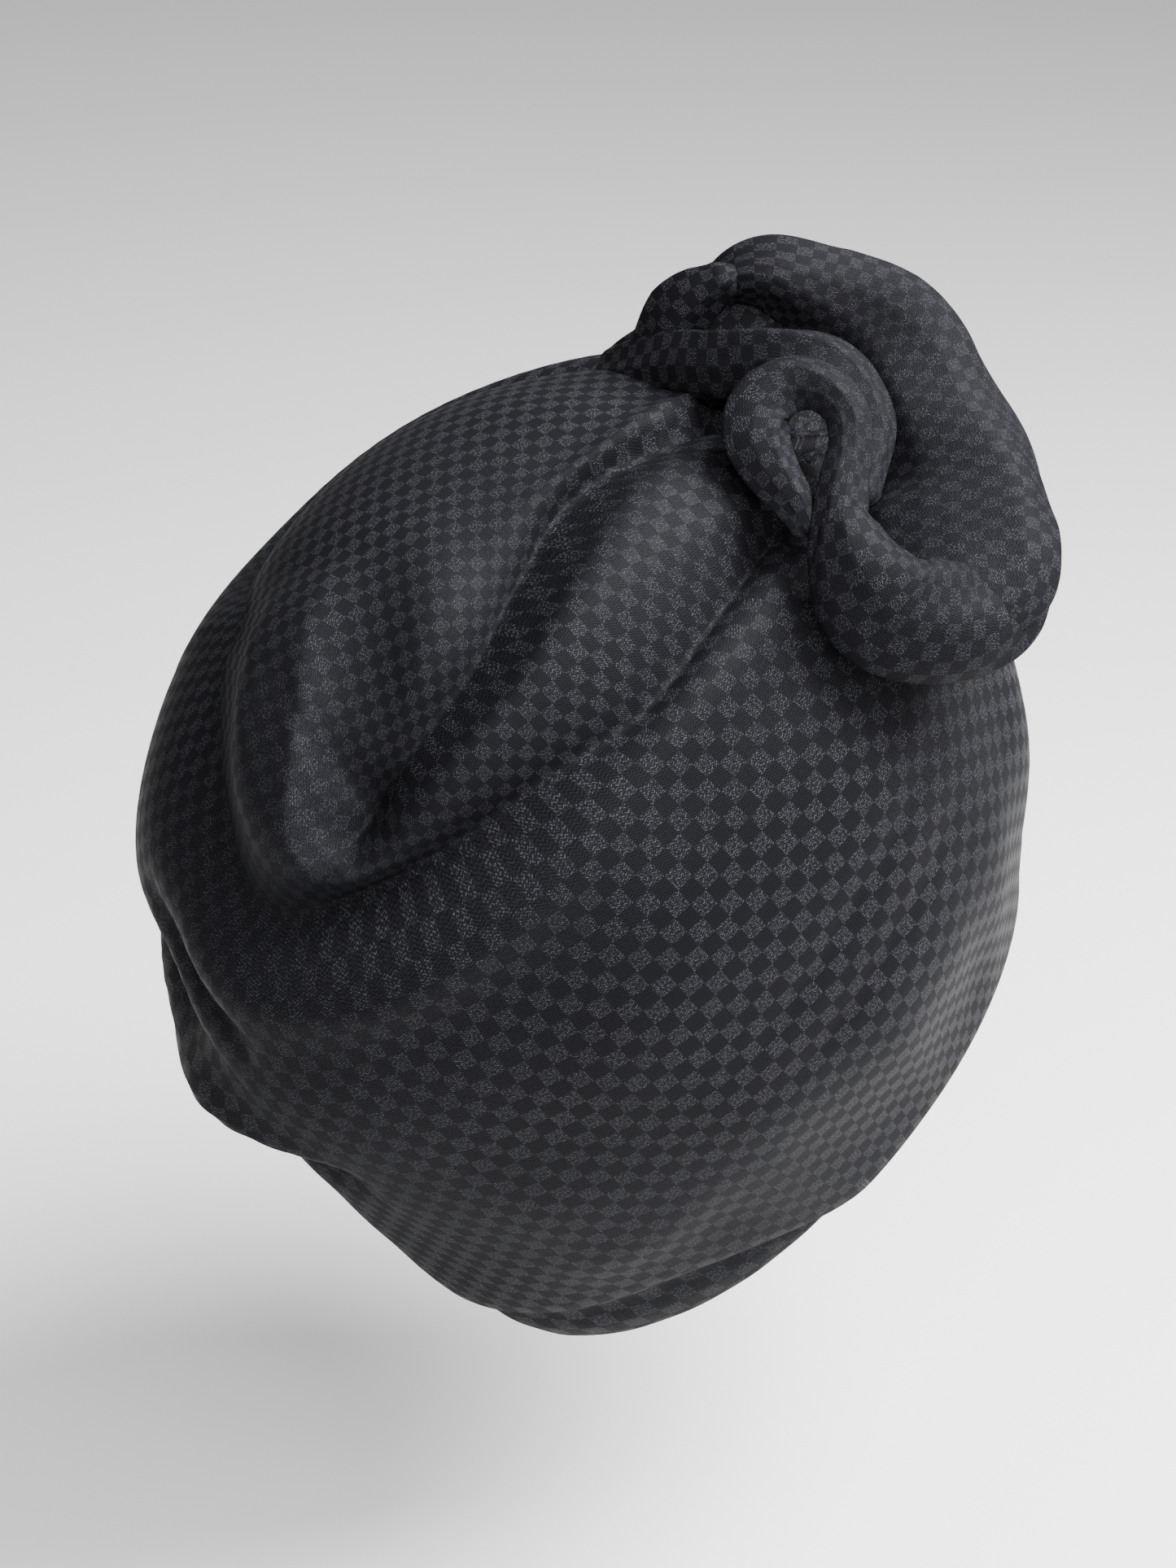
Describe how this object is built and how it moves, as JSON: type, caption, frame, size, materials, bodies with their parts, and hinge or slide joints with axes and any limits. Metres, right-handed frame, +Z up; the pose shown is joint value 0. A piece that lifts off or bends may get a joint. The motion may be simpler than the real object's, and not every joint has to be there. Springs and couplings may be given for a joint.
{
  "type": "turban",
  "caption": "Soft wound turban with a hollow gathered crown, a band at the nape and a twisted knot over the right of the brow.",
  "frame": {"origin": "centre of the head opening, on the plane of the hem, where the turban sits on the head", "axes": "+Z up, -Y the way the wearer faces, -X the wearer's right; the hem's front is raised 36 degrees"},
  "size_m": [0.2233, 0.2729, 0.3203],
  "materials": {
    "satin_jacquard": "black satin with a tone-on-tone check"
  },
  "bodies": {
    "root": {"crown_wrap": "satin_jacquard", "nape_band": "satin_jacquard", "knot_outer_roll": "satin_jacquard", "knot_inner_twist": "satin_jacquard", "knot_top_band": "satin_jacquard", "knot_side_loop": "satin_jacquard", "knot_core": "satin_jacquard"}
  },
  "joints": []
}
